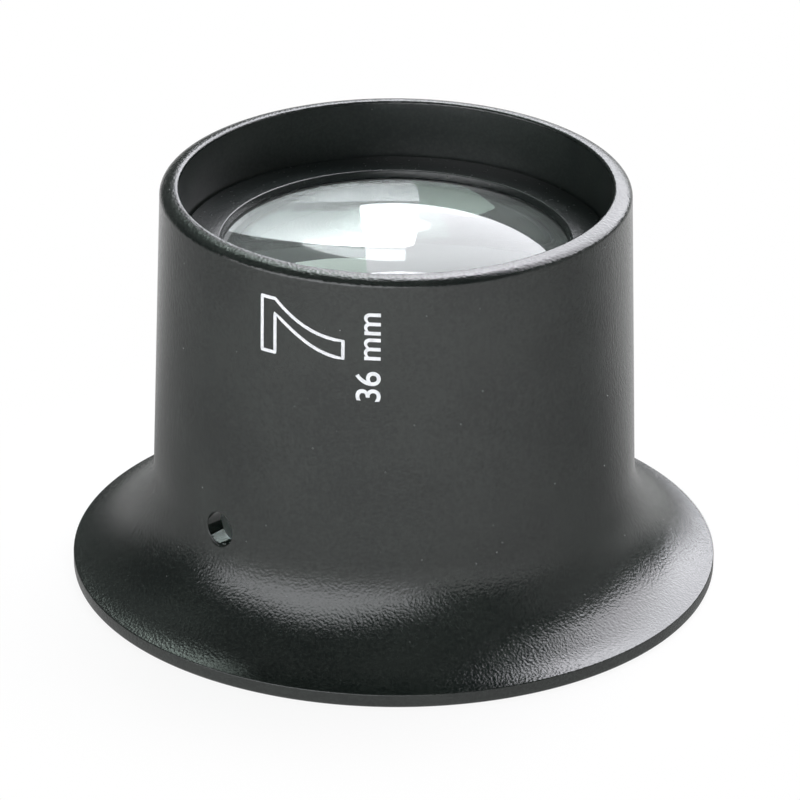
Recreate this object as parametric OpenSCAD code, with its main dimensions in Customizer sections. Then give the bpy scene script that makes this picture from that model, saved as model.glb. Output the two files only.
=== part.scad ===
// Watchmaker's eye loupe. A threaded cell holds a pair of lenses in the barrel
// of a flared eyecup. The origin is the centre of the eye rim's resting face,
// +Z runs up the optical axis to the object side, and -Y is the marked side.

/* [Lenses] */
// Diameter of both glass lenses
lens_d = 25; // [20:0.5:30]
// Radius of the convex face of both lenses
lens_curve_r = 36.5; // [32:0.1:60]
// Thickness of each lens at its cylindrical edge
lens_edge_t = 1.3; // [1:0.1:2]
// Bevel round the flat face of each lens
lens_bevel = 0.35; // [0.3:0.05:0.5]
// Width of the land round the dome of the object lens
object_land_w = 0.4; // [0.3:0.05:0.5]
// Air between the top of the eye lens and the object lens
lens_air_gap = 0.5; // [0.2:0.1:2]
// Wall of the spacer ring between the two lenses
spacer_wall = 0.8; // [0.5:0.05:1.4]

/* [Lens cell] */
// Wall of the cell's head round the lenses
cell_wall = 2.1; // [1.8:0.1:3]
// Depth of the cell's top face below the barrel's rim
cell_depth = 4.1; // [3.2:0.05:6]
// Height of the cell's head, above its thread
head_h = 1.6; // [1.3:0.1:2.2]
// Pitch of the thread below the head
thread_pitch = 1; // [0.5:0.05:1.25]
// Thickness of the lip over the edge of the object lens
lip_t = 0.5; // [0.45:0.05:0.8]
// Width by which the lip overhangs the object lens
lip_overhang = 0.55; // [0.5:0.05:0.8]
// Width of the slope on the lip's inner edge
lip_slope_w = 0.4; // [0.2:0.05:0.45]
// Reach of the snap bead under the bevel of the eye lens
bead_reach = 0.25; // [0.2:0.05:0.3]
// Width of each of the two spanner notches
notch_w = 1.6; // [1.2:0.1:2.4]
// Depth of each spanner notch
notch_depth = 0.9; // [0.5:0.1:1]
// Length of each spanner notch, inwards from the cell's outer edge
notch_len = 1.5; // [1:0.1:1.6]

/* [Housing] */
// Height from the eye rim's resting face to the barrel's rim
housing_h = 28.4; // [26:0.1:40]
// Thickness of the moulded wall
wall = 1.3; // [1:0.05:1.6]
// Draft of the barrel's outside, in degrees
draft = 1.7; // [0.5:0.1:2.5]
// Outer diameter of the flared eye rim
eye_rim_d = 44.8; // [41:0.1:50]
// Height at which the flare leaves the barrel
flare_h = 7.9; // [7:0.1:11]
// Height of the flare's outer edge
eye_edge_h = 0.7; // [0.6:0.05:1.4]
// Rounding of the flare's outer edge, above and below
eye_edge_round = 0.25; // [0.15:0.05:0.25]
// Rounding of the barrel's rim on the outside
rim_round = 0.7; // [0.3:0.05:0.75]
// Rounding of the barrel's rim on the inside
rim_inner_round = 0.2; // [0.1:0.05:0.25]
// Thickness of the shoulder that carries the lenses and the cell
shoulder_t = 1.3; // [1:0.1:2]
// Width of the shoulder under the edge of the eye lens
shoulder_overlap = 0.7; // [0.5:0.1:1.2]

/* [Wire holes] */
// Diameter of the two wall holes, for air and for a headband's wire
wire_hole_d = 2.4; // [1.6:0.1:3]
// Height of the holes' common axis
wire_hole_z = 8; // [6.5:0.1:10]
// Direction of the holes' axis from +X, in degrees
wire_hole_turn = 45; // [0:1:180]

/* [Clearances] */
// Radial gap between the cell's bore and the glass and spacer in it
lens_gap = 0.1; // [0.05:0.01:0.2]
// Gap between the object lens and the lip above it
lip_gap = 0.12; // [0.1:0.01:0.2]
// Land left bare between the spacer and the dome of the eye lens
spacer_margin = 0.1; // [0.05:0.01:0.2]
// Radial gap between the cell and the housing, in the thread and above it
cell_gap = 0.1; // [0.05:0.01:0.2]
// Gap under the cell's head, so that the cell seats on the shoulder
head_gap = 0.15; // [0.1:0.01:0.3]

/* [Hidden] */
$fn = 96;
eps = 0.01;

lens_r = lens_d / 2;
eye_land_w = spacer_wall + spacer_margin;
spacer_h = dome_h(eye_land_w) + lens_air_gap;

cell_bore_r = lens_r + lens_gap;
head_r = cell_bore_r + cell_wall;
lip_r = lens_r - lip_overhang;
cell_h = 2 * lens_edge_t + spacer_h + lip_gap + lip_t;
cell_z = housing_h - cell_depth - cell_h;

// A metric thread is 0.54 of its pitch deep. Both its halves are drawn as plain
// cylinders at their mean radius, and its crests just pass the bore above it.
thread_r = head_r - 0.54 * thread_pitch / 2;

bore_r = head_r + cell_gap;
bore_floor_z = cell_z + cell_h - head_h - head_gap;
shoulder_r = lens_r - shoulder_overlap;
shoulder_z = cell_z - shoulder_t;
eye_rim_r = eye_rim_d / 2;

// Height of a lens's dome above its land
function dome_h(land_w) =
    lens_curve_r - sqrt(pow(lens_curve_r, 2) - pow(lens_r - land_w, 2));

// Outer and inner radius of the drafted barrel at height z
function barrel_r(z) = bore_r + wall + (housing_h - z) * tan(draft);
function barrel_inner_r(z) = barrel_r(z) - wall / cos(draft);

// The flare's outside is one arc. It leaves the barrel as a tangent and ends at
// the eye rim's edge, so the chord and the draft give its radius.
flare_start = [barrel_r(flare_h), flare_h];
flare_end = [eye_rim_r, eye_edge_h];
chord = flare_end - flare_start;
chord_tilt = atan2(chord[0], -chord[1]) - draft;
flare_r = norm(chord) / (2 * sin(chord_tilt));
flare_centre = flare_start + flare_r * [cos(draft), sin(draft)];

// What a sharp corner loses when it is rounded: the part of the corner beyond
// a circle, which meets the corner's two faces at start and end
module corner_waste(centre, start, corner, end, r) {
    difference() {
        polygon([centre, start, corner, end]);
        translate(centre) circle(r);
    }
}

// Half section of the flare, between two arcs that are one wall apart
module flare_section() {
    intersection() {
        square([eye_rim_r, flare_h]);
        difference() {
            translate(flare_centre) circle(flare_r + wall);
            translate(flare_centre) circle(flare_r);
        }
    }
}

// Half section of the barrel, with the shoulder, the threaded bore and the bore
module barrel_section() {
    polygon([
        [barrel_inner_r(flare_h), flare_h - eps],
        [barrel_r(flare_h), flare_h - eps],
        [barrel_r(flare_h), flare_h],
        [barrel_r(housing_h), housing_h],
        [bore_r, housing_h],
        [bore_r, bore_floor_z],
        [thread_r + cell_gap, bore_floor_z],
        [thread_r + cell_gap, cell_z],
        [shoulder_r, cell_z],
        [shoulder_r, shoulder_z],
        [barrel_inner_r(shoulder_z), shoulder_z],
    ]);
}

module rim_outer_waste() {
    z = housing_h - rim_round;
    centre = [barrel_r(z) - rim_round / cos(draft), z];
    corner_waste(
        centre,
        centre + rim_round * [cos(draft), sin(draft)],
        [barrel_r(housing_h) + eps, housing_h + eps],
        [centre[0], housing_h + eps],
        rim_round);
}

module rim_inner_waste() {
    centre = [bore_r + rim_inner_round, housing_h - rim_inner_round];
    corner_waste(
        centre,
        [bore_r - eps, centre[1]],
        [bore_r - eps, housing_h + eps],
        [centre[0], housing_h + eps],
        rim_inner_round);
}

module eye_edge_lower_waste() {
    centre = [eye_rim_r - eye_edge_round, eye_edge_round];
    corner_waste(
        centre,
        [centre[0], -eps],
        [eye_rim_r + eps, -eps],
        [eye_rim_r + eps, centre[1]],
        eye_edge_round);
}

// Its circle touches the flare's arc from below, so their centres are the sum
// of the two radii apart
module eye_edge_upper_waste() {
    reach = flare_r + eye_edge_round;
    x = eye_rim_r - eye_edge_round;
    centre = [x, flare_centre[1] - sqrt(pow(reach, 2) - pow(flare_centre[0] - x, 2))];
    corner_waste(
        centre,
        centre + (flare_centre - centre) * eye_edge_round / reach,
        flare_end + [eps, eps],
        [eye_rim_r + eps, centre[1]],
        eye_edge_round);
}

module eyecup_housing() {
    color([0.13, 0.14, 0.14])
    difference() {
        rotate_extrude() difference() {
            union() {
                flare_section();
                barrel_section();
            }
            rim_outer_waste();
            rim_inner_waste();
            eye_edge_lower_waste();
            eye_edge_upper_waste();
        }
        translate([0, 0, wire_hole_z]) rotate([0, 90, wire_hole_turn])
            cylinder(d = wire_hole_d, h = eye_rim_d, center = true);
    }
}

module lens_cell() {
    color([0.09, 0.1, 0.1])
    translate([0, 0, cell_z]) difference() {
        rotate_extrude() polygon([
            [cell_bore_r - bead_reach, 0],
            [thread_r, 0],
            [thread_r, cell_h - head_h],
            [head_r, cell_h - head_h],
            [head_r, cell_h],
            [lip_r + lip_slope_w, cell_h],
            [lip_r, cell_h - lip_slope_w],
            [lip_r, cell_h - lip_t],
            [cell_bore_r, cell_h - lip_t],
            [cell_bore_r, bead_reach],
        ]);
        for (side = [0, 180]) rotate([0, 0, side])
            translate([head_r - notch_len, -notch_w / 2, cell_h - notch_depth])
                cube([notch_len + 1, notch_w, notch_depth + 1]);
    }
}

// Plano-convex lens that stands on its flat face
module plano_convex(land_w) {
    rotate_extrude() union() {
        polygon([
            [0, 0],
            [lens_r - lens_bevel, 0],
            [lens_r, lens_bevel],
            [lens_r, lens_edge_t],
            [0, lens_edge_t],
        ]);
        intersection() {
            translate([0, lens_edge_t + dome_h(land_w) - lens_curve_r])
                circle(lens_curve_r, $fn = 360);
            translate([0, lens_edge_t - eps])
                square([lens_r, dome_h(land_w) + 2 * eps]);
        }
    }
}

module object_lens() {
    color([0.75, 0.86, 0.84, 0.5])
    translate([0, 0, cell_z + lens_edge_t + spacer_h]) plano_convex(object_land_w);
}

module spacer_ring() {
    color([0.07, 0.07, 0.07])
    translate([0, 0, cell_z + lens_edge_t]) rotate_extrude()
        translate([lens_r - spacer_wall, 0]) square([spacer_wall, spacer_h]);
}

module eye_lens() {
    color([0.75, 0.86, 0.84, 0.5])
    translate([0, 0, cell_z]) plano_convex(eye_land_w);
}

eyecup_housing();
lens_cell();
object_lens();
spacer_ring();
eye_lens();
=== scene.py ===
"""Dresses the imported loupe: its turned pieces, their finishes and print, the studio and the camera."""

import math

import bmesh
import bpy
from mathutils import Matrix, Vector


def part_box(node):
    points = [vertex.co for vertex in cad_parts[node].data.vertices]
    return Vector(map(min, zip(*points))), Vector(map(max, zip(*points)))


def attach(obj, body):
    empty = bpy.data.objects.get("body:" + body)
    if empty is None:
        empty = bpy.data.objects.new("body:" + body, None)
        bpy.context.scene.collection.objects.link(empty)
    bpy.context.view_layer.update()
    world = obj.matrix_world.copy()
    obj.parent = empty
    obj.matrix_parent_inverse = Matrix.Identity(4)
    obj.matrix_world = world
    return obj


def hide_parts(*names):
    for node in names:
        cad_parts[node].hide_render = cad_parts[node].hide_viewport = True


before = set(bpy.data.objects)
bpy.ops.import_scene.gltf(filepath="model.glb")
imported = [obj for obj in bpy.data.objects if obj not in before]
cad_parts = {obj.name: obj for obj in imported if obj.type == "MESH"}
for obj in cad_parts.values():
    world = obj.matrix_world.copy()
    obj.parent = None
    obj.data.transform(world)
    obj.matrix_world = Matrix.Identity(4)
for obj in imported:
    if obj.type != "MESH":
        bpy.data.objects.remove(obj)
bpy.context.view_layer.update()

MM = 0.001

# Sizes that the frame's boxes give
_, housing_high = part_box("eyecup_housing")
cell_low, cell_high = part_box("lens_cell")
_, object_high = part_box("object_lens")
rim_z = housing_high.z
eye_rim_r = housing_high.x
head_r = cell_high.x
lens_r = object_high.x

# The housing's walls and roundings
WALL = 1.3 * MM
DRAFT = math.radians(1.7)
FLARE_H = 7.9 * MM
EYE_EDGE_H = 1.0 * MM
EYE_EDGE_ROUND = 0.25 * MM
EYE_EDGE_BREAK = 0.1 * MM
RIM_DROP = 0.6 * MM
RIM_INNER_ROUND = 0.2 * MM
SHOULDER_T = 1.3 * MM
SHOULDER_OVERLAP = 0.7 * MM
SHOULDER_ROUND = 0.15 * MM
CELL_GAP = 0.1 * MM

# The two wire holes
HOLE_R = 1.2 * MM
HOLE_Z = 8 * MM
HOLE_TURN = math.radians(45)
HOLE_LIP_ROUND = 0.09 * MM

# The lens cell
CELL_BORE_GAP = 0.1 * MM
HEAD_H = 1.6 * MM
HEAD_GAP = 0.15 * MM
LIP_T = 0.5 * MM
LIP_OVERHANG = 0.55 * MM
LIP_SLOPE_W = 0.1 * MM
LIP_ROUND = 0.12 * MM
BEAD_REACH = 0.25 * MM
NOTCH_W = 1.6 * MM
NOTCH_DEPTH = 0.9 * MM
NOTCH_LEN = 1.5 * MM
EDGE_BREAK = 0.08 * MM
HEAD_ROUND = 0.14 * MM

# The metric thread, whose flanks stand at 60 degrees to each other
PITCH = 1 * MM
THREAD_DEPTH = 0.54 * PITCH
CREST_W = PITCH / 8
FLANK_ANGLE = math.radians(30)
THREAD_SUNK = 0.04 * MM
THREAD_MARGIN = 0.5 * MM
THREAD_RUN_OUT = 0.3
PARTS_OF_TURN = 8

# The glass
LENS_EDGE_T = 1.3 * MM
LENS_BEVEL = 0.35 * MM
OBJECT_LAND_W = 0.4 * MM
EYE_LAND_W = 0.9 * MM

# Marks for the finish of a stretch of a plastic piece's section
GRAINED = 0.0
SMOOTH = 1.0
MATT = 2.0
PINNED = 3.0

# Marks for the finish of a stretch of a lens's section
POLISHED = 0.0
GROUND = 1.0

# How finely the pieces are turned and welded
SEGMENTS = 288
SECTION_STEP = 0.5 * MM
WELD = 1e-6
SHARP_ANGLE = math.radians(35)


class Wire:
    """One output of a node. Arithmetic on it adds Math nodes to its tree."""

    def __init__(self, tree, socket=None):
        self.tree = tree
        self.socket = socket

    def node(self, kind, settings=None, inputs=None, output=0):
        """Adds a node, with its settings set before its sockets, and returns one of its outputs."""
        made = self.tree.nodes.new(kind)
        for name, value in (settings or {}).items():
            setattr(made, name, value)
        for key, value in (inputs or {}).items():
            if isinstance(value, Wire):
                self.tree.links.new(value.socket, made.inputs[key])
            else:
                made.inputs[key].default_value = value
        return Wire(self.tree, made.outputs[output])

    def maths(self, operation, *values):
        return self.node("ShaderNodeMath", {"operation": operation}, dict(enumerate(values)))

    def __add__(self, other):
        return self.maths("ADD", self, other)

    def __radd__(self, other):
        return self.maths("ADD", other, self)

    def __sub__(self, other):
        return self.maths("SUBTRACT", self, other)

    def __rsub__(self, other):
        return self.maths("SUBTRACT", other, self)

    def __mul__(self, other):
        return self.maths("MULTIPLY", self, other)

    def __rmul__(self, other):
        return self.maths("MULTIPLY", other, self)

    def __truediv__(self, other):
        return self.maths("DIVIDE", self, other)

    def axis(self, letter):
        """One coordinate of a vector."""
        return self.node("ShaderNodeSeparateXYZ", None, {0: self}, letter)

    def between(self, low, high):
        """0 below low, 1 above high and smooth in between."""
        return self.node(
            "ShaderNodeMapRange",
            {"interpolation_type": "SMOOTHSTEP"},
            {"Value": self, "From Min": low, "From Max": high},
        )

    def blend(self, a, b):
        """Colour a where this wire is 0, and b where it is 1."""
        return self.node("ShaderNodeMix", {"data_type": "RGBA"}, {0: self, 6: a, 7: b}, output=2)


# Sections


class Section:
    """A half section: (radius, height) points in order, each with the finish of the stretch up to it."""

    def __init__(self, closed=True):
        self.points = []
        self.finish = []
        self.closed = closed

    def add(self, points, finish):
        """Goes on through the points, without one that lies on the last one."""
        for point in points:
            if self.points and math.dist(point, self.points[-1]) < WELD:
                continue
            self.points.append(point)
            self.finish.append(finish)
        return self

    def mesh(self, name):
        """Its points joined in order, with the finish on each edge."""
        count = len(self.points)
        edges = [(i, (i + 1) % count) for i in range(count if self.closed else count - 1)]
        mesh = bpy.data.meshes.new(name)
        mesh.from_pydata([(r, 0, z) for r, z in self.points], edges, [])
        finish = mesh.attributes.new("finish", "FLOAT", "EDGE")
        finish.data.foreach_set("value", [self.finish[b] for a, b in edges])
        return mesh


def arc(centre, radius, start, end, steps):
    """Points on a circle, from one angle in degrees to another, both ends included."""
    turns = [math.radians(start + (end - start) * i / steps) for i in range(steps + 1)]
    return [(centre[0] + radius * math.cos(t), centre[1] + radius * math.sin(t)) for t in turns]


def rounded(corners, steps):
    """Points of a line through (x, y, radius) corners, with an arc of that radius at each inner one."""
    points = [corners[0][:2]]
    for before, (x, y, radius), after in zip(corners, corners[1:], corners[2:]):
        corner = Vector((x, y))
        back = (Vector(before[:2]) - corner).normalized()
        ahead = (Vector(after[:2]) - corner).normalized()
        half = back.angle(ahead) / 2
        if radius <= 0 or half > math.radians(89.9):
            points.append((x, y))
            continue
        centre = corner + (back + ahead).normalized() * radius / math.sin(half)
        start = corner + back * radius / math.tan(half) - centre
        end = corner + ahead * radius / math.tan(half) - centre
        turn = start.angle_signed(end)
        for i in range(steps + 1):
            spoke = start.copy()
            spoke.rotate(Matrix.Rotation(-turn * i / steps, 2))
            points.append(tuple(centre + spoke))
    return points + [corners[-1][:2]]


def split(start, end, step):
    """Points from start to end, about one step apart."""
    count = max(1, round(math.dist(start, end) / step))
    return [
        (start[0] + (end[0] - start[0]) * i / count, start[1] + (end[1] - start[1]) * i / count)
        for i in range(count + 1)
    ]


# Turning


def new_tree(name, sizes):
    """Starts a geometry tree with one named input for each size, and returns the wires of its inputs."""
    tree = bpy.data.node_groups.new(name, "GeometryNodeTree")
    tree.interface.new_socket("Geometry", in_out="INPUT", socket_type="NodeSocketGeometry")
    for label, kind in sizes.items():
        tree.interface.new_socket(label, in_out="INPUT", socket_type="NodeSocket" + kind)
    tree.interface.new_socket("Geometry", in_out="OUTPUT", socket_type="NodeSocketGeometry")
    source = tree.nodes.new("NodeGroupInput")
    return {s.name: Wire(tree, s) for s in source.outputs if s.name}


def end_tree(geometry, material):
    """Ends a geometry tree with real geometry of one material, as the export needs it."""
    tree = geometry.tree
    real = geometry.node("GeometryNodeRealizeInstances", None, {0: geometry})
    dressed = real.node("GeometryNodeSetMaterial", None, {"Geometry": real, "Material": material})
    tree.links.new(dressed.socket, tree.nodes.new("NodeGroupOutput").inputs[0])
    return tree


def turning_tree():
    """Turns a section round the axis. With a pitch it winds the section up the axis, as a thread's tooth.
    The tooth grows out of the anchor radius, from the end scale to its full size over a run-out given in
    turns, and shrinks in the same way at its other end."""
    size = new_tree(
        "turning",
        {
            "Segments": "Int",
            "Turns": "Float",
            "Pitch": "Float",
            "Start height": "Float",
            "Anchor radius": "Float",
            "Run-out": "Float",
            "End scale": "Float",
            "Material": "Material",
        },
    )
    section = size["Geometry"]
    points = section.node("GeometryNodeAttributeDomainSize", None, {0: section}, "Point Count")
    edges = section.node("GeometryNodeAttributeDomainSize", None, {0: section}, "Edge Count")
    steps = size["Segments"] * size["Turns"]
    grid = section.node(
        "GeometryNodeMeshGrid",
        None,
        {
            "Size X": edges,
            "Size Y": 1.0,
            "Vertices X": edges + 1,
            "Vertices Y": steps.maths("CEIL", steps) + 1,
        },
    )
    place = section.node("GeometryNodeInputPosition")
    across = place.axis("X") + edges / 2
    along = place.axis("Y") + 0.5

    named = section.node("GeometryNodeInputNamedAttribute", {"data_type": "FLOAT"}, {"Name": "finish"})
    finish = section.node(
        "GeometryNodeSampleIndex",
        {"data_type": "FLOAT", "domain": "EDGE", "clamp": True},
        {"Geometry": section, "Value": named, "Index": across.maths("FLOOR", across)},
    )
    marked = grid.node(
        "GeometryNodeStoreNamedAttribute",
        {"data_type": "FLOAT", "domain": "FACE"},
        {"Geometry": grid, "Name": "finish", "Value": finish},
    )

    column = (across + 0.5).maths("FLOOR", across + 0.5)
    point = section.node(
        "GeometryNodeSampleIndex",
        {"data_type": "FLOAT_VECTOR", "domain": "POINT"},
        {"Geometry": section, "Value": place, "Index": column.maths("MODULO", column, points)},
    )
    from_end = along.maths("MINIMUM", along, 1 - along) * size["Turns"]
    grown = from_end.node("ShaderNodeMapRange", None, {"Value": from_end, "From Max": size["Run-out"]})
    scale = size["End scale"] + (1 - size["End scale"]) * grown
    anchor = size["Anchor radius"]
    radius = anchor + (point.axis("X") - anchor) * scale
    rise = size["Start height"] + size["Pitch"] * size["Turns"] * along
    height = point.axis("Z") * scale + rise
    angle = along * size["Turns"] * math.tau
    east = radius * angle.maths("COSINE", angle)
    north = radius * angle.maths("SINE", angle)
    goal = radius.node("ShaderNodeCombineXYZ", None, {"X": east, "Y": north, "Z": height})
    wound = marked.node("GeometryNodeSetPosition", None, {"Geometry": marked, "Position": goal})
    welded = wound.node("GeometryNodeMergeByDistance", None, {"Geometry": wound, "Distance": WELD})
    smooth = welded.node("GeometryNodeSetShadeSmooth", {"domain": "FACE"}, {"Geometry": welded})
    return end_tree(smooth, size["Material"])


TURNING = turning_tree()


def new_object(name, data):
    """A new object in the scene."""
    obj = bpy.data.objects.new(name, data)
    bpy.context.scene.collection.objects.link(obj)
    return obj


def turned(
    name,
    section,
    material,
    turns=1.0,
    pitch=0.0,
    start=0.0,
    anchor=0.0,
    run_out=1.0,
    end_scale=1.0,
):
    """A new piece: the section turned round the axis, or wound up it as a thread."""
    obj = new_object(name, section.mesh(name + "_section"))
    modifier = obj.modifiers.new("turning", "NODES")
    modifier.node_group = TURNING
    sizes = {
        "Segments": SEGMENTS,
        "Turns": turns,
        "Pitch": pitch,
        "Start height": start,
        "Anchor radius": anchor,
        "Run-out": run_out,
        "End scale": end_scale,
        "Material": material,
    }
    for item in TURNING.interface.items_tree:
        if item.in_out == "INPUT" and item.name in sizes:
            modifier[item.identifier] = sizes[item.name]
    return plain(obj)


def plain(obj):
    """Puts what the object's modifiers make into its mesh, with its faces outwards, and removes them."""
    shown = obj.evaluated_get(bpy.context.evaluated_depsgraph_get())
    mesh = bpy.data.meshes.new_from_object(shown)
    obj.modifiers.clear()
    obj.data = mesh
    material = next(m for m in mesh.materials if m)
    mesh.materials.clear()
    mesh.materials.append(material)
    mesh.polygons.foreach_set("material_index", [0] * len(mesh.polygons))
    work = bmesh.new()
    work.from_mesh(mesh)
    bmesh.ops.recalc_face_normals(work, faces=work.faces)
    work.to_mesh(mesh)
    work.free()
    mesh.set_sharp_from_angle(angle=SHARP_ANGLE)
    return obj


def cut(obj, cutter):
    """Cuts the cutter's shape out of the object and removes the cutter."""
    modifier = obj.modifiers.new("cut", "BOOLEAN")
    modifier.object = cutter
    modifier.operation = "DIFFERENCE"
    modifier.solver = "EXACT"
    plain(obj)
    bpy.data.objects.remove(cutter)
    return obj


def joined(name, *objects):
    """One object made of several."""
    with bpy.context.temp_override(active_object=objects[0], selected_editable_objects=list(objects)):
        bpy.ops.object.join()
    objects[0].name = name
    return objects[0]


# Finishes


# The colours of dust and of a matt inner wall
DUST = (0.25, 0.26, 0.255, 1)
MATT_BLACK = (0.034, 0.046, 0.04, 1)

# The sizes and depths of what covers a surface
DUST_SPACING = 1.2 * MM
DUST_R = 0.05 * MM
CLOUD_SIZE = 6 * MM
FROST_SIZE = 0.08 * MM
FROST_DEPTH = 0.004 * MM
TOOL_PITCH = 0.12 * MM
TOOL_DEPTH = 0.01 * MM
TOOL_DUST_SIZE = 0.1 * MM
INK_PATCH_SIZE = 0.35 * MM
INK_SKIN_SIZE = 0.12 * MM
INK_SKIN_DEPTH = 0.006 * MM


def new_material(name):
    """A new material without nodes, and a wire that its nodes are added from."""
    material = bpy.data.materials.new(name)
    material.use_nodes = True
    material.node_tree.nodes.clear()
    return material, Wire(material.node_tree)


def surface(shader):
    """Links a shader to its material's output."""
    tree = shader.tree
    tree.links.new(shader.socket, tree.nodes.new("ShaderNodeOutputMaterial").inputs["Surface"])


def principled(wire, height, depth, inputs):
    """Ends a material with a surface whose bump rises by the depth where the height is 1."""
    bump = wire.node("ShaderNodeBump", None, {"Strength": 1.0, "Distance": depth, "Height": height})
    surface(wire.node("ShaderNodeBsdfPrincipled", None, {**inputs, "Normal": bump}))


def own_place(wire):
    """The place in the piece's own coordinates."""
    return wire.node("ShaderNodeTexCoord", output="Object")


def finish_mark(wire):
    """The mark of the stretch of the section that a face was turned from."""
    return wire.node("ShaderNodeAttribute", {"attribute_name": "finish"}, output="Fac")


def noise(wire, size, detail=2.0, roughness=0.5):
    """Noise whose grains have the given size."""
    place = own_place(wire)
    return wire.node(
        "ShaderNodeTexNoise",
        None,
        {"Vector": place, "Scale": 1 / size, "Detail": detail, "Roughness": roughness},
    )


def cells(wire, spacing):
    """The distance to the nearest of the points strewn in the piece, as a share of their spacing."""
    place = own_place(wire)
    return wire.node("ShaderNodeTexVoronoi", None, {"Vector": place, "Scale": 1 / spacing}, "Distance")


def specks(wire, spacing, radius):
    """Round specks, where the points strewn in the piece come close to its surface."""
    return 1 - cells(wire, spacing).between(0.5 * radius / spacing, radius / spacing)


def moulded_plastic(name, dark, pale, grain, grain_depth, roughness, bore_roughness):
    """Black plastic with the pebbled grain of a spark-eroded mould outside, a smooth bore, a matt inner
    wall, and wire holes that their pin has polished."""
    material, wire = new_material(name)
    finish = finish_mark(wire)
    grained = 1 - finish.maths("MINIMUM", finish, SMOOTH)
    pinned = finish.between(MATT, PINNED)
    dull = finish.between(SMOOTH, MATT) - pinned
    fine = noise(wire, grain, 3.0, 0.6)
    pits = noise(wire, grain * 1.5)
    craters = cells(wire, grain * 1.3)
    dust = specks(wire, DUST_SPACING, DUST_R)

    mottled = noise(wire, CLOUD_SIZE, 3.0) * 0.3 + fine * 0.3 + pits * 0.4
    black = mottled.between(0.38, 0.63).blend((*dark, 1), (*pale, 1))
    rough = grained * (roughness - bore_roughness) + bore_roughness
    rough = rough + (pits - 0.5) * 0.16 * grained + dull * 0.2 + dust * 0.5
    principled(
        wire,
        (fine * 0.6 + craters * 0.4) * (grained * 0.92 + 0.08),
        grain_depth,
        {
            "Base Color": dust.blend(dull.blend(black, MATT_BLACK), DUST),
            "Roughness": rough * (1 - pinned * 0.75),
            "IOR": 1.65,
        },
    )
    return material


def optical_glass(name, reflection, haze):
    """Polished glass whose ground edge is blackened, as an optician does. A coating weakens its
    reflection. The haze is the share of light that a film of dust scatters."""
    material, wire = new_material(name)
    ground = finish_mark(wire)
    frost = noise(wire, FROST_SIZE)
    principled(
        wire,
        frost * ground,
        FROST_DEPTH,
        {
            "Base Color": ground.blend((0.90, 0.975, 0.94, 1), (0.01, 0.01, 0.01, 1)),
            "Roughness": ground * (0.35 + frost * 0.3),
            "IOR": 1.62,
            "Specular IOR Level": reflection,
            "Transmission Weight": 1 - haze,
        },
    )
    return material


def matt_black(name):
    """The spacer's black, with the fine lines that a lathe tool leaves round it."""
    material, wire = new_material(name)
    height = own_place(wire).axis("Z") * (math.tau / TOOL_PITCH)
    lines = height.maths("SINE", height)
    dust = noise(wire, TOOL_DUST_SIZE)
    principled(
        wire,
        lines + dust,
        TOOL_DEPTH,
        {
            "Base Color": dust.between(0.2, 0.8).blend(
                (0.006, 0.007, 0.007, 1),
                (0.014, 0.015, 0.015, 1),
            ),
            "Roughness": dust * 0.2 + 0.6,
        },
    )
    return material


def printing_ink(name):
    """White pad-printing ink, a little thin in places."""
    material, wire = new_material(name)
    thick = noise(wire, INK_PATCH_SIZE, 3.0).between(0.25, 0.6)
    skin = noise(wire, INK_SKIN_SIZE)
    principled(
        wire,
        skin,
        INK_SKIN_DEPTH,
        {
            "Base Color": thick.blend((0.80, 0.81, 0.82, 1), (0.93, 0.94, 0.95, 1)),
            "Roughness": skin * 0.2 + 0.4,
        },
    )
    return material


housing_plastic = moulded_plastic(
    "housing_plastic",
    dark=(0.0045, 0.0082, 0.007),
    pale=(0.019, 0.0245, 0.021),
    grain=0.16 * MM,
    grain_depth=0.037 * MM,
    roughness=0.17,
    bore_roughness=0.4,
)
cell_plastic = moulded_plastic(
    "cell_plastic",
    dark=(0.0075, 0.0115, 0.0105),
    pale=(0.012, 0.0165, 0.0155),
    grain=0.19 * MM,
    grain_depth=0.02 * MM,
    roughness=0.24,
    bore_roughness=0.2,
)
plain_glass = optical_glass("plain_glass", reflection=1.0, haze=0.09)
coated_glass = optical_glass("coated_glass", reflection=0.05, haze=0.01)
spacer_plastic = matt_black("spacer_plastic")
print_white = printing_ink("print_white")

# The housing


bore_r = head_r + CELL_GAP
bore_floor_z = cell_high.z - HEAD_H - HEAD_GAP
shoulder_r = lens_r - SHOULDER_OVERLAP
shoulder_z = cell_low.z - SHOULDER_T


def barrel_r(z):
    """The barrel's outer radius at a height."""
    return bore_r + WALL + (rim_z - z) * math.tan(DRAFT)


def barrel_inner_r(z):
    """The radius of the barrel's inner wall at a height."""
    return barrel_r(z) - WALL / math.cos(DRAFT)


def flare():
    """Centre and radius of the flare's outer arc, which leaves the barrel and ends at the eye rim."""
    start = Vector((barrel_r(FLARE_H), FLARE_H))
    end = Vector((eye_rim_r, EYE_EDGE_H))
    chord = end - start
    tilt = math.atan2(chord.x, -chord.y) - DRAFT
    radius = chord.length / (2 * math.sin(tilt))
    return start + radius * Vector((math.cos(DRAFT), math.sin(DRAFT))), radius


def rim_crown():
    """The rim's section, which falls away outwards in a wide rounding and turns sharply into the bore."""
    crown_r = bore_r + RIM_INNER_ROUND
    width = barrel_r(rim_z - RIM_DROP) - crown_r
    steps = 16
    first = 1
    turns = [math.radians(first + (90 - first) * i / steps) for i in range(steps + 1)]
    outer = [
        (crown_r + width * math.cos(turn), rim_z - RIM_DROP * (1 - math.sin(turn)))
        for turn in turns
    ]
    return outer + arc((crown_r, rim_z - RIM_INNER_ROUND), RIM_INNER_ROUND, 90, 180, 6)[1:]


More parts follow.
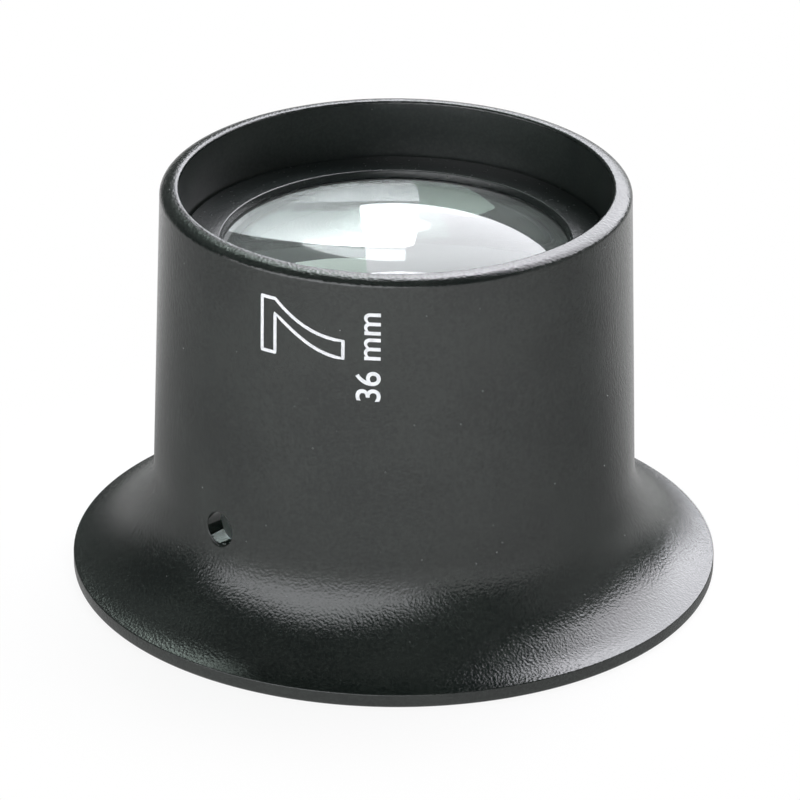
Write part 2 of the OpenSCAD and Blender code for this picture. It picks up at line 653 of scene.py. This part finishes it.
def housing_section():
    centre, radius = flare()
    inner = radius + WALL
    edge = EYE_EDGE_ROUND
    crisp = EYE_EDGE_BREAK
    low_r = centre.x - math.sqrt(inner**2 - centre.y**2)

    # The rounding at the top of the eye rim's edge touches the flare's arc from below
    drop = math.sqrt((radius + crisp) ** 2 - (centre.x - eye_rim_r + crisp) ** 2)
    upper = (eye_rim_r - crisp, centre.y - drop)
    upper_turn = math.degrees(math.atan2(drop, centre.x - upper[0]))
    foot_turn = math.degrees(math.atan2(-centre.y, low_r - centre.x))

    section = Section()
    section.add(split((low_r, 0), (eye_rim_r - edge, 0), SECTION_STEP), SMOOTH)
    section.add(arc((eye_rim_r - edge, edge), edge, -90, 0, 6), GRAINED)
    section.add(arc(upper, crisp, 0, upper_turn, 8), GRAINED)
    section.add(arc(centre, radius, upper_turn + 180, 180 + math.degrees(DRAFT), 48), GRAINED)
    crown = rim_crown()
    section.add(split((barrel_r(FLARE_H), FLARE_H), crown[0], SECTION_STEP), GRAINED)
    section.add(crown, GRAINED)
    section.add(split(crown[-1], (bore_r, cell_low.z), SECTION_STEP), SMOOTH)
    shoulder = rounded(
        [
            (bore_r, cell_low.z, 0),
            (shoulder_r, cell_low.z, SHOULDER_ROUND),
            (shoulder_r, shoulder_z, SHOULDER_ROUND),
            (barrel_inner_r(shoulder_z), shoulder_z, SHOULDER_ROUND),
            (barrel_inner_r(FLARE_H), FLARE_H, 0),
        ],
        steps=4,
    )
    section.add(shoulder[:-1], SMOOTH)
    section.add(split(shoulder[-2], shoulder[-1], SECTION_STEP), MATT)
    section.add(arc(centre, inner, 180 + math.degrees(DRAFT), foot_turn % 360, 32)[:-1], MATT)
    return section


def thread_section(core_r, outwards):
    """The tooth of a thread, sunk a little in the wall that it stands on. It is drawn about height 0."""
    side = 1 if outwards else -1
    flank = math.tan(FLANK_ANGLE)
    sunk_w = CREST_W / 2 + (THREAD_DEPTH + THREAD_SUNK) * flank
    sunk_r = core_r - side * THREAD_SUNK
    crest_r = core_r + side * THREAD_DEPTH
    tooth = [(sunk_r, -sunk_w), (crest_r, -CREST_W / 2), (crest_r, CREST_W / 2), (sunk_r, sunk_w)]
    return Section().add(tooth, SMOOTH)


def thread(name, core_r, outwards, low, high, phase, material):
    """A right-handed thread between two heights. Two of them mesh when their phases differ by half."""
    start = low + (phase * PITCH - low) % PITCH
    return turned(
        name,
        thread_section(core_r, outwards),
        material,
        turns=math.floor((high - start) / PITCH * PARTS_OF_TURN) / PARTS_OF_TURN,
        pitch=PITCH,
        start=start,
        anchor=core_r - (THREAD_SUNK if outwards else -THREAD_SUNK),
        run_out=THREAD_RUN_OUT,
        end_scale=0.0,
    )


def hole_cutter():
    """A pin through both wire holes, which opens out where it leaves the barrel."""
    mouth = barrel_r(HOLE_Z)
    lip = arc((HOLE_R + HOLE_LIP_ROUND, mouth - HOLE_LIP_ROUND), HOLE_LIP_ROUND, 180, 105, 6)
    end = mouth + 2 * MM
    end_r = lip[-1][0] + 0.2 * MM
    half = [*lip, (end_r, end), (0, end)]
    pin = Section(closed=False)
    pin.add([(r, -z) for r, z in reversed(half)], PINNED)
    pin.add(half, PINNED)
    cutter = turned("hole_cutter", pin, housing_plastic)
    turn = Matrix.Rotation(HOLE_TURN, 4, "Z") @ Matrix.Rotation(math.pi / 2, 4, "Y")
    cutter.data.transform(Matrix.Translation((0, 0, HOLE_Z)) @ turn)
    return cutter


def make_housing():
    shell = cut(turned("shell", housing_section(), housing_plastic), hole_cutter())
    teeth = thread(
        "teeth",
        bore_r,
        False,
        cell_low.z + THREAD_MARGIN,
        bore_floor_z - THREAD_MARGIN,
        0.0,
        housing_plastic,
    )
    housing = joined("eyecup_shell", shell, teeth)
    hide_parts("eyecup_housing")
    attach(housing, "housing")


# The lens cell


cell_bore_r = lens_r + CELL_BORE_GAP
cell_core_r = head_r - THREAD_DEPTH


def cell_section():
    head_z = cell_high.z - HEAD_H
    lip_z = cell_high.z - LIP_T
    lip_r = lens_r - LIP_OVERHANG
    corners = [
        (cell_bore_r, cell_low.z + BEAD_REACH, 0),
        (cell_bore_r - BEAD_REACH, cell_low.z, 0),
        (cell_core_r, cell_low.z, EDGE_BREAK),
        (cell_core_r, head_z, 0),
        (head_r, head_z, EDGE_BREAK),
        (head_r, cell_high.z, HEAD_ROUND),
        (lip_r + LIP_SLOPE_W, cell_high.z, LIP_ROUND),
        (lip_r, lip_z, 0),
        (cell_bore_r, lip_z, 0),
        (cell_bore_r, cell_low.z + BEAD_REACH, 0),
    ]
    return Section().add(rounded(corners, steps=4)[:-1], GRAINED)


def notch_cutter():
    """Two blocks that cut the spanner notches in opposite sides of the cell's head."""
    spare = 1 * MM
    length = NOTCH_LEN + spare
    depth = NOTCH_DEPTH + spare
    work = bmesh.new()
    for side in (-1, 1):
        middle = (side * (head_r - NOTCH_LEN + length / 2), 0, cell_high.z - NOTCH_DEPTH + depth / 2)
        block = Matrix.LocRotScale(middle, None, (length, NOTCH_W, depth))
        bmesh.ops.create_cube(work, size=1, matrix=block)
    mesh = bpy.data.meshes.new("notch_cutter")
    work.to_mesh(mesh)
    work.free()
    return new_object("notch_cutter", mesh)


def make_cell():
    ring = cut(turned("ring", cell_section(), cell_plastic), notch_cutter())
    teeth = thread(
        "teeth",
        cell_core_r,
        True,
        cell_low.z + THREAD_MARGIN,
        cell_high.z - HEAD_H - THREAD_MARGIN,
        0.5,
        cell_plastic,
    )
    cell = joined("cell_ring", ring, teeth)
    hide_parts("lens_cell")
    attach(cell, "cell")


# The glass and its spacer


def lens_section(low_z, high_z, land_w):
    """A plano-convex lens with its flat face down, a ground bevel and edge, and a land round its dome."""
    edge_z = low_z + LENS_EDGE_T
    dome_r = lens_r - land_w
    rise = high_z - edge_z
    curve_r = (dome_r**2 + rise**2) / (2 * rise)
    half_turn = math.degrees(math.asin(dome_r / curve_r))
    section = Section(closed=False)
    section.add(split((0, low_z), (lens_r - LENS_BEVEL, low_z), SECTION_STEP), POLISHED)
    section.add([(lens_r, low_z + LENS_BEVEL), (lens_r, edge_z), (dome_r, edge_z)], GROUND)
    dome = arc((0, high_z - curve_r), curve_r, 90 - half_turn, 90, 96)
    section.add([*dome[:-1], (0, high_z)], POLISHED)
    return section


def make_lens(name, node, land_w, glass):
    low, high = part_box(node)
    lens = turned(name, lens_section(low.z, high.z, land_w), glass)
    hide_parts(node)
    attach(lens, "lens_pack")


# The print


MARK_LINE = 0.25 * MM
INK = 0.012 * MM
BEND_STEP = 0.25 * MM
PRINT_WELD = 1e-7
ON_PLANE = 1e-9

# Where the print begins: the turn round the barrel from its front, and the height
SEVEN_TURN = math.radians(-12.2)
SEVEN_Z = 22.32 * MM
DISTANCE_TURN = math.radians(-3.4)
DISTANCE_Z = 19.6 * MM

# The lettering: the height of its capitals, their share of the font's size, and how much bolder it is
DISTANCE_H = 1.7 * MM
CAPITAL_SHARE = 0.73
BOLDER = 0.012


def wrap_on_barrel(obj, angle, height):
    """Wraps a flat drawing round the barrel. It reads upwards, so its own top points to the left."""
    for vertex in obj.data.vertices:
        along, up, out = vertex.co
        z = height + along * math.cos(DRAFT)
        radius = barrel_r(z)
        turn = angle - up / radius
        radius += out
        vertex.co = (radius * math.sin(turn), -radius * math.cos(turn), z)


def flat_mesh(name, curve):
    """A piece of print: the mesh of a flat curve or text, cut across so that it can bend."""
    drawn = new_object(name, curve)
    shown = drawn.evaluated_get(bpy.context.evaluated_depsgraph_get())
    mesh = bpy.data.meshes.new_from_object(shown)
    bpy.data.objects.remove(drawn)
    work = bmesh.new()
    work.from_mesh(mesh)
    bmesh.ops.remove_doubles(work, verts=work.verts, dist=PRINT_WELD)
    low = min(v.co.y for v in work.verts)
    high = max(v.co.y for v in work.verts)
    for i in range(1, int((high - low) / BEND_STEP) + 1):
        bmesh.ops.bisect_plane(
            work,
            geom=work.verts[:] + work.edges[:] + work.faces[:],
            plane_co=(0, low + i * BEND_STEP, 0),
            plane_no=(0, 1, 0),
            dist=ON_PLANE,
        )
    work.to_mesh(mesh)
    work.free()
    mesh.materials.clear()
    mesh.materials.append(print_white)
    return new_object(name, mesh)


def outlined_seven():
    """A plain figure 7 as a printed outline, with x along the reading and y towards the figure's top."""
    high = 5.85 * MM
    wide = 3.85 * MM
    bar = 1.0 * MM
    foot = 1.25 * MM
    foot_x = 0.35 * MM
    bar_y = high - bar
    curve = bpy.data.curves.new("figure_seven", "CURVE")
    curve.dimensions = "3D"
    curve.bevel_depth = MARK_LINE / 2
    curve.bevel_resolution = 2
    curve.resolution_u = 10
    outline = curve.splines.new("BEZIER")
    corners = [
        (0, high),
        (wide, high),
        (wide, bar_y),
        (foot_x + foot, 0),
        (foot_x, 0),
        (wide - 1.05 * MM, bar_y),
        (0, bar_y),
    ]
    outline.bezier_points.add(len(corners) - 1)
    outline.use_cyclic_u = True
    for point, place in zip(outline.bezier_points, corners):
        point.co = (*place, 0)
        point.handle_left_type = point.handle_right_type = "FREE"
        point.handle_left = point.handle_right = point.co

    # The leg's two sides curve from the bar to the foot
    right_top, right_foot, left_foot, left_top = outline.bezier_points[2:6]
    right_top.handle_right = (wide - 1.2 * MM, bar_y - 1.3 * MM, 0)
    right_foot.handle_left = (foot_x + foot + 0.05 * MM, 2.0 * MM, 0)
    left_foot.handle_right = (foot_x + 0.1 * MM, 2.0 * MM, 0)
    left_top.handle_left = (wide - 2.0 * MM, bar_y - 1.3 * MM, 0)
    return curve


def lettering(body, capital_h):
    """Plain bold lettering whose capitals have the given height, as a thin solid."""
    curve = bpy.data.curves.new("lettering", "FONT")
    curve.body = body
    curve.size = capital_h / CAPITAL_SHARE
    curve.offset = BOLDER * capital_h
    curve.extrude = INK
    curve.resolution_u = 6
    return curve


def make_marks():
    """The magnification as an outlined figure and the focal length beside it, both plain print."""
    seven = flat_mesh("magnification_mark", outlined_seven())
    for vertex in seven.data.vertices:
        vertex.co.z *= INK / (MARK_LINE / 2)
    wrap_on_barrel(seven, SEVEN_TURN, SEVEN_Z)
    distance = flat_mesh("distance_mark", lettering("36 mm", DISTANCE_H))
    wrap_on_barrel(distance, DISTANCE_TURN, DISTANCE_Z)
    for mark in (seven, distance):
        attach(mark, "housing")


make_housing()
make_cell()
make_lens("object_lens_glass", "object_lens", OBJECT_LAND_W, plain_glass)
make_lens("eye_lens_glass", "eye_lens", EYE_LAND_W, coated_glass)
spacer_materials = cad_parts["spacer_ring"].data.materials
spacer_materials.clear()
spacer_materials.append(spacer_plastic)
make_marks()

# The studio


# The table's half width, and how bright the unlit part of the studio is from its horizon upwards
TABLE_HALF_W = 3
HORIZON_LIGHT = 0.06
UPPER_LIGHT_MORE = 0.05
UPPER_FROM = 0.3

# The camera as the photo gives it. The lens and the sensor are in millimetres
CAMERA_AIM = Vector((0.37, 0, 12.15)) * MM
CAMERA_DISTANCE = 0.3974
CAMERA_ELEVATION = math.radians(25.315)
CAMERA_AZIMUTH = math.radians(-0.058)
CAMERA_ROLL = math.radians(0.407)
CAMERA_LENS = 258.2
CAMERA_SENSOR = 36


def sky_direction(azimuth, elevation):
    """A direction from the object. Azimuth 0 is behind it as the camera sees it, 90 is to its right."""
    a = math.radians(azimuth)
    e = math.radians(elevation)
    return Vector((math.sin(a) * math.cos(e), math.cos(a) * math.cos(e), math.sin(e)))


def glow(name, colour, strength, fade):
    """A panel's light, even or with a fade that goes to another strength from one azimuth to the next."""
    material, wire = new_material(name)
    if fade:
        start, end, far_strength = fade
        place = own_place(wire)
        azimuth = wire.maths("ARCTAN2", place.axis("X"), place.axis("Y"))
        share = azimuth.between(math.radians(start), math.radians(end))
        strength = share * (far_strength - strength) + strength
    surface(wire.node("ShaderNodeEmission", None, {"Color": (*colour, 1), "Strength": strength}))
    return material


def panel(name, corners, strength, colour=(1, 1, 1), distance=1.2, fade=None):
    """A glowing panel, whose corners are (azimuth, elevation, rounding) in degrees from the object."""
    start = ((corners[0][0] + corners[-1][0]) / 2, (corners[0][1] + corners[-1][1]) / 2, 0)
    outline = rounded([start, *corners, start], steps=5)
    fine = []
    for a, b in zip(outline, outline[1:]):
        fine += split(a, b, 4)[:-1]
    places = [sky_direction(azimuth, elevation) * distance for azimuth, elevation in fine]
    mesh = bpy.data.meshes.new(name)
    mesh.from_pydata(places, [], [range(len(places))])
    mesh.materials.append(glow(name, colour, strength, fade))
    obj = new_object(name, mesh)
    obj.visible_camera = False


def seen_by(wire, ray):
    """1 for one kind of ray, and 0 for all others."""
    return wire.node("ShaderNodeLightPath", output=f"Is {ray} Ray")


def make_floor():
    """A pale table, white to the camera but for the object's faint shadow. Its glow carries painted light
    and shade for what mirrors or refracts it.
    """
    work = bmesh.new()
    bmesh.ops.create_grid(work, x_segments=1, y_segments=1, size=TABLE_HALF_W)
    mesh = bpy.data.meshes.new("table")
    work.to_mesh(mesh)
    work.free()
    material, wire = new_material("table_white")
    place = own_place(wire)
    reach = wire.node("ShaderNodeVectorMath", {"operation": "LENGTH"}, {0: place}, "Value")
    depth = place.axis("Y") / reach
    side = place.axis("X") / reach
    camera = seen_by(wire, "Camera")
    glossy = seen_by(wire, "Glossy")
    through = seen_by(wire, "Transmission")

    # Painted light: inside the cup only what mirrors or refracts sees the table glow, and dimly, in place
    # of the light that the lenses focus onto it
    edge = 0.9 * eye_rim_r
    outside = reach.between(0.85 * eye_rim_r, edge)
    painted_cup_light = (glossy + through) * 0.5

    # Outside it is white to the camera, but for a small share close to the object that takes its shadow
    seen = reach.between(edge, 1.7 * eye_rim_r) * 0.1 + 0.9

    # Painted light and shade: a glossy wall sees the table's glow dimmer close to the object, as a
    # painted shadow, and dimmer beside it than before and behind it, as painted light fall
    ahead = (-1 * depth).between(-0.2, 1.1)
    behind = (depth + side * 0.25).between(0.3, 0.9)
    painted_shadow = 0.7 + reach.between(edge, 4.2 * eye_rim_r) * 0.3
    painted_table_light = (0.46 + ahead * 0.54 + behind * 0.5 - side * 0.05) * painted_shadow
    painted_shade_colour = (glossy * outside * (1 - painted_table_light)).blend((1, 1, 1, 1), (0, 0, 0, 1))

    share = outside * (camera * seen + glossy) + (1 - outside) * painted_cup_light
    diffuse = wire.node("ShaderNodeBsdfDiffuse", None, {"Color": (0.9, 0.9, 0.9, 1)})
    # The glow's colour holds the painted light and shade that glossy rays see
    white = wire.node("ShaderNodeEmission", None, {"Color": painted_shade_colour, "Strength": 1.0})
    surface(wire.node("ShaderNodeMixShader", None, {0: share, 1: diffuse, 2: white}))
    mesh.materials.append(material)
    table = new_object("table", mesh)


def make_world():
    """White to the camera. To all other rays it is a dim studio, a little brighter above its horizon."""
    world = bpy.data.worlds.new("studio")
    bpy.context.scene.world = world
    world.use_nodes = True
    world.node_tree.nodes.clear()
    wire = Wire(world.node_tree)
    height = wire.node("ShaderNodeTexCoord", output="Generated").axis("Z")
    camera = seen_by(wire, "Camera")
    studio = height.between(0.0, UPPER_FROM) * UPPER_LIGHT_MORE + HORIZON_LIGHT
    strength = camera + (1 - camera) * studio
    background = wire.node("ShaderNodeBackground", None, {"Color": (1, 1, 1, 1), "Strength": strength})
    output = world.node_tree.nodes.new("ShaderNodeOutputWorld")
    world.node_tree.links.new(background.socket, output.inputs["Surface"])


def make_camera():
    """The photograph's view: a long lens, a little above the object."""
    back = Vector(
        (
            math.sin(CAMERA_AZIMUTH) * math.cos(CAMERA_ELEVATION),
            -math.cos(CAMERA_AZIMUTH) * math.cos(CAMERA_ELEVATION),
            math.sin(CAMERA_ELEVATION),
        )
    )
    data = bpy.data.cameras.new("camera")
    data.sensor_width = CAMERA_SENSOR
    data.lens = CAMERA_LENS
    data.clip_start = 0.01
    data.clip_end = 20
    camera = new_object("camera", data)
    camera.rotation_mode = "QUATERNION"
    camera.location = CAMERA_AIM + back * CAMERA_DISTANCE
    turn = (-back).to_track_quat("-Z", "Y").to_matrix() @ Matrix.Rotation(CAMERA_ROLL, 3, "Z")
    camera.rotation_quaternion = turn.to_quaternion()
    bpy.context.scene.camera = camera


make_floor()
make_world()
panel(
    "key_softbox",
    [
        (-5, 41, 0),
        (-7.5, 69, 3),
        (30, 66, 0),
        (40, 57, 0),
        (60, 56, 0),
        (84, 60, 3),
        (84, 48, 0),
        (54, 18, 3),
        (20, 32, 0),
        (9, 41, 0),
    ],
    strength=4.8,
    colour=(0.96, 0.95, 1.0),
)
panel(
    "key_core",
    [(-5.6, 48, 0), (-7, 64, 3), (24, 64, 4), (58, 60, 4), (60, 48, 3), (28, 47, 4)],
    strength=12.0,
    colour=(0.95, 0.945, 1.0),
    distance=0.9,
    fade=(14, 42, 5.0),
)
panel(
    "key_reflector",
    [(-3, 13, 4), (-5.4, 50, 0), (30, 50, 3), (44, 42, 4), (44, 24, 3), (38, 11, 0)],
    strength=4.6,
    colour=(0.95, 0.95, 1.0),
    distance=1.0,
    fade=(6, 36, 6.0),
)
panel(
    "front_softbox",
    [
        (168, 7, 0),
        (168, 23, 3),
        (180, 25, 0),
        (196, 33, 0),
        (204, 38, 2),
        (226, 38, 2),
        (242, 28, 0),
        (262, 19, 2),
        (264, 7, 0),
    ],
    strength=3.1,
    colour=(0.96, 0.97, 1.0),
)
panel(
    "left_card",
    [(-5, 42, 0), (-7, 69, 0), (-26, 64, 0), (-24, 44, 0), (-16, 38, 0)],
    strength=3.8,
    colour=(0.84, 1.0, 0.92),
)
panel(
    "left_strip",
    [(-24, 37, 0), (-24, 47, 0), (-80, 46, 0), (-80, 36, 0)],
    strength=0.4,
    colour=(0.9, 1.0, 0.95),
    distance=1.6,
)
panel("front_table_glow", [(105, 0, 0), (105, 6, 0), (265, 6, 0), (265, 0, 0)], strength=1.0)
panel("right_wall", [(56, 0, 0), (56, 12, 0), (88, 40, 0), (120, 34, 0), (125, 0, 0)], strength=0.35)
make_camera()

bpy.context.scene.view_settings.view_transform = "Standard"
